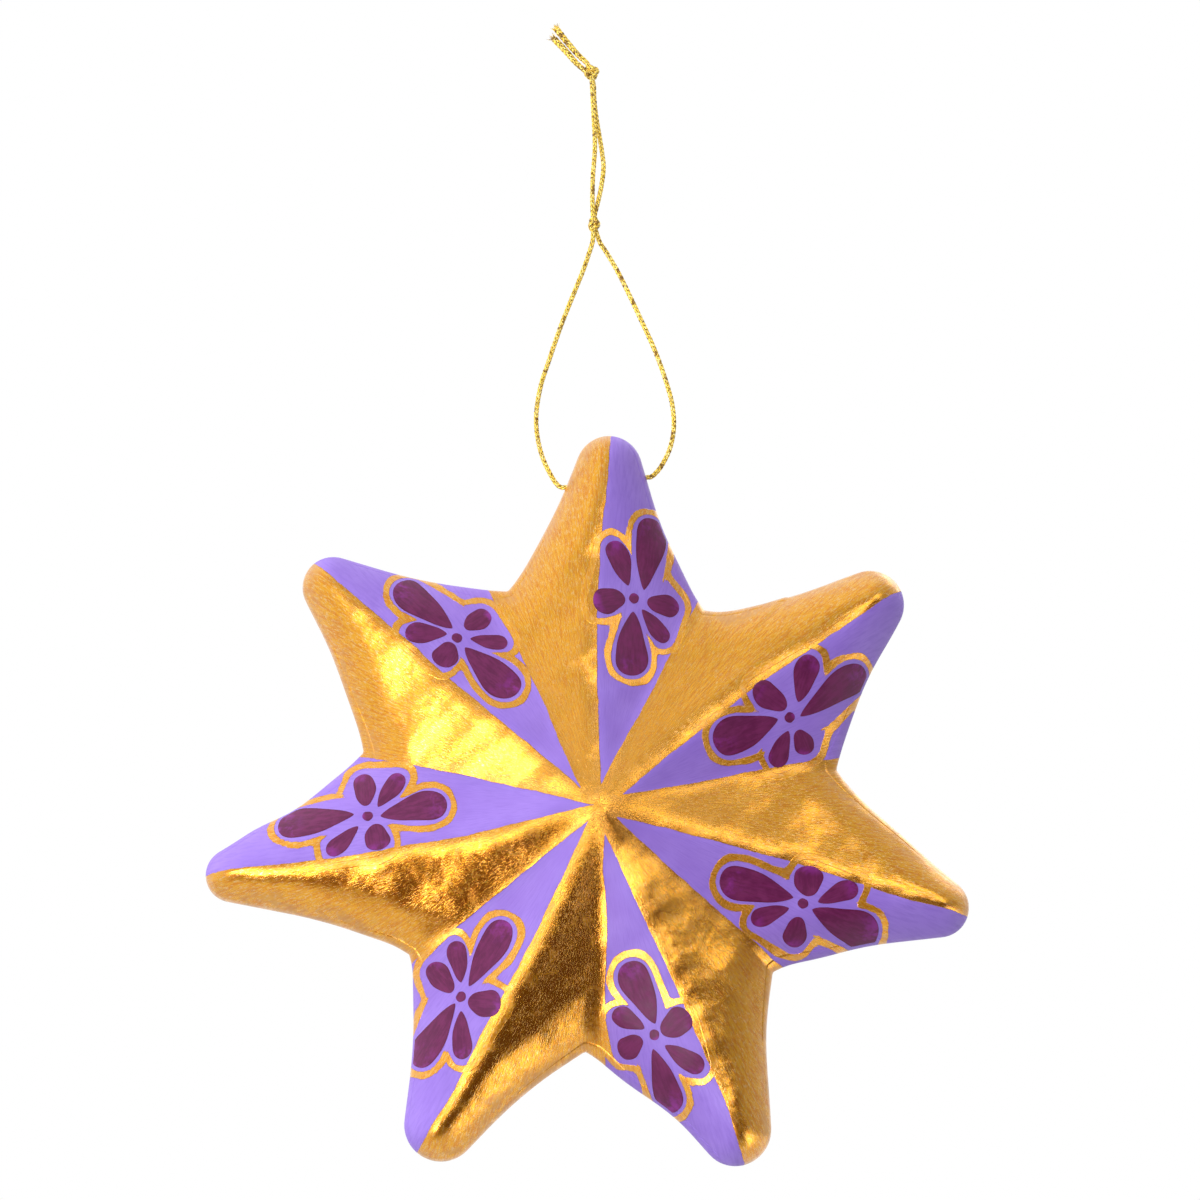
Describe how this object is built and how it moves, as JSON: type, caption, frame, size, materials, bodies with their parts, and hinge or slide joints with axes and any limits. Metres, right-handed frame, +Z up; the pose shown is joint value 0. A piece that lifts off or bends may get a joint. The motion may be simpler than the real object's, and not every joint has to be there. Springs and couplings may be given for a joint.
{
  "type": "star ornament",
  "caption": "Hollow papier mache star ornament with ridged arms, painted gold and lavender with dark flowers, hanging from a knotted gold cord loop.",
  "frame": {"origin": "the hang point: inside the small loop of cord between the two knots, just under the upper knot, where a hook or twig goes through", "axes": "+Z up, -Y out of the star's front face, +X to the right as seen from the front; the star's joint between its half shells lies in the plane y = 0"},
  "size_m": [0.126, 0.034, 0.1916],
  "materials": {
    "painted_paper": "matte lavender and satin gold brush paint over moulded paper",
    "gold_cord": "shiny metallic knitted yarn"
  },
  "bodies": {
    "hanger": {"cord_strand_left": "gold_cord", "cord_strand_right": "gold_cord", "knot_upper": "gold_cord", "cord_tail_upper": "gold_cord", "cord_tail_lower": "gold_cord"},
    "loop": {"knot_lower": "gold_cord", "cord_leg_left": "gold_cord", "cord_leg_right": "gold_cord", "cord_crossing": "gold_cord"},
    "star": {"front_shell": "painted_paper", "back_shell": "painted_paper", "seam_strip": "painted_paper"}
  },
  "joints": [
    {"name": "loop_twist", "type": "hinge", "parent": "hanger", "child": "loop", "pos_m": [-0.0005, 0, -0.012], "axis": [0, 0, 1], "range_deg": [-180, 180]},
    {"name": "star_swing", "type": "hinge", "parent": "loop", "child": "star", "pos_m": [0.00195, 0, -0.05757], "axis": [0.9925, 0, 0.1219], "range_deg": [-140, 140]}
  ]
}
